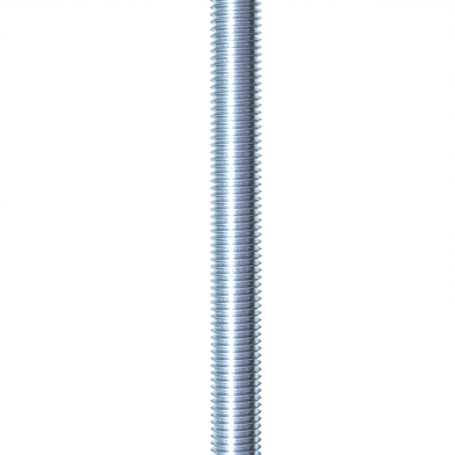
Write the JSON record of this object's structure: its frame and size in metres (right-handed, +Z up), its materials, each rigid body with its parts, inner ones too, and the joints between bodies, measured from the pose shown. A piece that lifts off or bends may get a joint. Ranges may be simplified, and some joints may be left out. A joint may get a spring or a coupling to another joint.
{
  "type": "threaded rod",
  "caption": "Straight steel rod with a right-hand screw thread along its whole length and square-cut, chamfered ends.",
  "frame": {"origin": "centre of the bottom end face, which the rod stands on", "axes": "+Z up along the rod's axis; the rod is round, so X and Y have no direction of their own"},
  "size_m": [0.019, 0.019, 0.3048],
  "materials": {
    "zinc_plate": "bright zinc plate on rolled steel, semi-gloss, with a faint blue tint"
  },
  "bodies": {
    "root": {"threaded_rod": "zinc_plate"}
  },
  "joints": []
}
